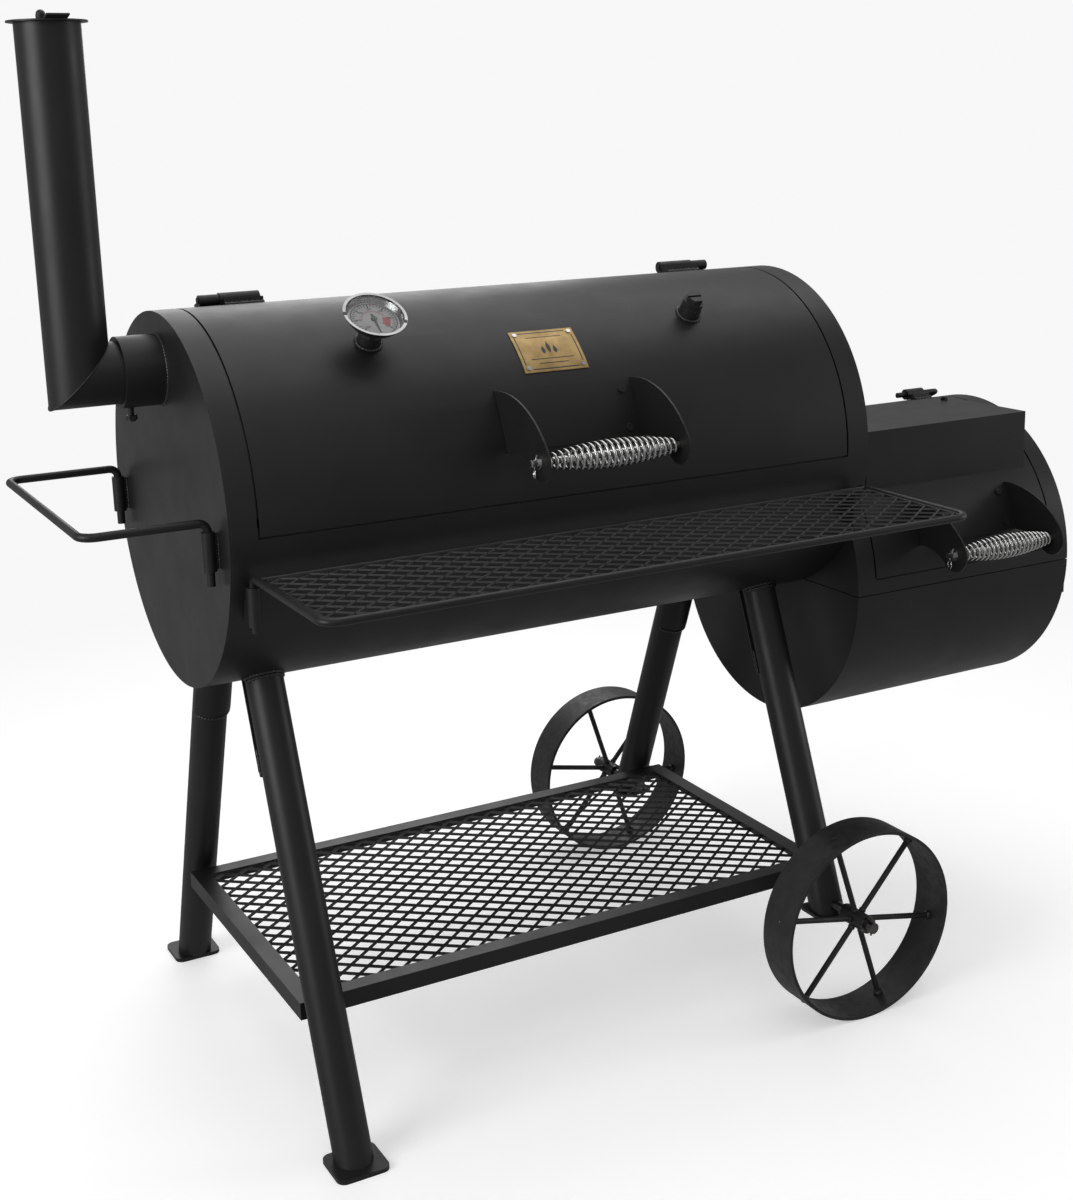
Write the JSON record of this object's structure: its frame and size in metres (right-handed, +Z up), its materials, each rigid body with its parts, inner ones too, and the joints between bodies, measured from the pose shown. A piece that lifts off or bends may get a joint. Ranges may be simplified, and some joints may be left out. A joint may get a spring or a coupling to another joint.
{
  "type": "offset smoker",
  "caption": "Offset charcoal smoker: horizontal drum with hinged lid, side firebox, elbowed chimney, lift-off front shelf, spring grips, splayed legs and spoked wheels.",
  "frame": {"origin": "on the ground, under the middle of the whole object's box", "axes": "+X from the chimney end to the firebox end, -Y towards the front with the handles and shelf, +Z up"},
  "size_m": [1.6016, 0.906, 1.4666],
  "materials": {
    "black_enamel": "satin high-temperature black enamel",
    "dark_steel": "satin black, slightly worn on its edges",
    "grate_iron": "dull seasoned iron",
    "zinc": "bright plated steel",
    "brass": "satin brass",
    "dial_white": "matt white enamel",
    "needle_black": "matt black enamel",
    "glass": "clear"
  },
  "bodies": {
    "base": {"chamber_shell": "black_enamel", "chamber_end_left": "black_enamel", "chamber_end_right": "black_enamel", "lid_rests": "dark_steel", "grate_rails": "dark_steel", "chimney_collar": "black_enamel", "chimney_screw": "dark_steel", "chimney_elbow": "black_enamel", "chimney_pipe": "black_enamel", "cap_pivot": "dark_steel", "shell_hinge_barrels": "dark_steel", "hinge_pins": "dark_steel", "rod_sockets": "dark_steel", "leg_sockets": "black_enamel", "foot_legs": "black_enamel", "wheel_legs": "black_enamel", "leg_plates": "black_enamel", "frame_bolts": "dark_steel", "bottom_shelf_frame": "black_enamel", "bottom_shelf_mesh": "dark_steel", "stub_axles": "zinc", "axle_keepers": "zinc", "firebox_lower": "black_enamel", "firebox_upper": "black_enamel", "seam_lugs": "dark_steel", "damper_bolt": "zinc"},
    "main_lid": {"main_lid": "black_enamel", "lid_hinge_barrels": "dark_steel", "lid_handle": "black_enamel", "lid_handle_rod": "zinc", "lid_handle_screws": "dark_steel", "name_plate": "brass", "name_plate_rivets": "zinc", "lid_bungs": "dark_steel", "port_plug": "dark_steel", "thermometer_case": "zinc", "thermometer_dial": "dial_white", "thermometer_glass": "glass"},
    "lid_grip": {"lid_grip": "zinc"},
    "thermometer_needle": {"thermometer_needle": "needle_black"},
    "firebox_lid": {"firebox_lid": "black_enamel", "warming_box": "black_enamel", "box_bolt": "dark_steel", "firebox_hinge_barrels": "dark_steel", "firebox_handle": "black_enamel", "firebox_handle_rod": "zinc", "firebox_handle_screws": "dark_steel"},
    "firebox_grip": {"firebox_grip": "zinc"},
    "chimney_cap": {"chimney_cap": "dark_steel"},
    "side_handle": {"side_handle": "black_enamel"},
    "front_shelf": {"front_shelf_bar": "black_enamel", "front_shelf_mesh": "dark_steel"},
    "wheel_front": {"wheel_front": "dark_steel"},
    "wheel_rear": {"wheel_rear": "dark_steel"},
    "cooking_grate_left": {"cooking_grate_left": "grate_iron"},
    "cooking_grate_right": {"cooking_grate_right": "grate_iron"},
    "charcoal_grate": {"charcoal_grate": "grate_iron"},
    "air_damper": {"air_damper": "dark_steel"}
  },
  "joints": [
    {"name": "main_lid_hinge", "type": "hinge", "parent": "base", "child": "main_lid", "pos_m": [-0.13675, 0.11039, 1.09123], "axis": [-1, 0, 0], "range_deg": [0, 95]},
    {"name": "firebox_lid_hinge", "type": "hinge", "parent": "base", "child": "firebox_lid", "pos_m": [0.56975, 0.10701, 0.84462], "axis": [-1, 0, 0], "range_deg": [0, 95]},
    {"name": "lid_grip_spin", "type": "hinge", "parent": "main_lid", "child": "lid_grip", "pos_m": [-0.13675, -0.28724, 0.89669], "axis": [1, 0, 0], "continuous": true},
    {"name": "firebox_grip_spin", "type": "hinge", "parent": "firebox_lid", "child": "firebox_grip", "pos_m": [0.57875, -0.25734, 0.66642], "axis": [1, 0, 0], "continuous": true},
    {"name": "needle_pivot", "type": "hinge", "parent": "main_lid", "child": "thermometer_needle", "pos_m": [-0.38825, -0.11385, 1.06942], "axis": [0, 0.5736, -0.8192], "range_deg": [0, 300]},
    {"name": "chimney_cap_swivel", "type": "hinge", "parent": "base", "child": "chimney_cap", "pos_m": [-0.73225, 0.081, 1.45], "axis": [0, 0, 1], "range_deg": [0, 170]},
    {"name": "side_handle_lift", "type": "slide", "parent": "base", "child": "side_handle", "axis": [0, 0, 1], "range_m": [0, 0.06]},
    {"name": "front_shelf_lift", "type": "slide", "parent": "base", "child": "front_shelf", "axis": [0, 0, 1], "range_m": [0, 0.055]},
    {"name": "front_wheel_axle", "type": "hinge", "parent": "base", "child": "wheel_front", "pos_m": [0.26375, -0.311, 0.1475], "axis": [0, 1, 0], "continuous": true},
    {"name": "rear_wheel_axle", "type": "hinge", "parent": "base", "child": "wheel_rear", "pos_m": [0.26375, 0.413, 0.1475], "axis": [0, 1, 0], "continuous": true},
    {"name": "left_grate_lift", "type": "slide", "parent": "base", "child": "cooking_grate_left", "axis": [0, 0, 1], "range_m": [0, 0.06]},
    {"name": "right_grate_lift", "type": "slide", "parent": "base", "child": "cooking_grate_right", "axis": [0, 0, 1], "range_m": [0, 0.06]},
    {"name": "charcoal_grate_lift", "type": "slide", "parent": "base", "child": "charcoal_grate", "axis": [0, 0, 1], "range_m": [0, 0.05]},
    {"name": "air_damper_swivel", "type": "hinge", "parent": "base", "child": "air_damper", "pos_m": [0.78475, 0.051, 0.477], "axis": [1, 0, 0], "range_deg": [0, 60]}
  ]
}
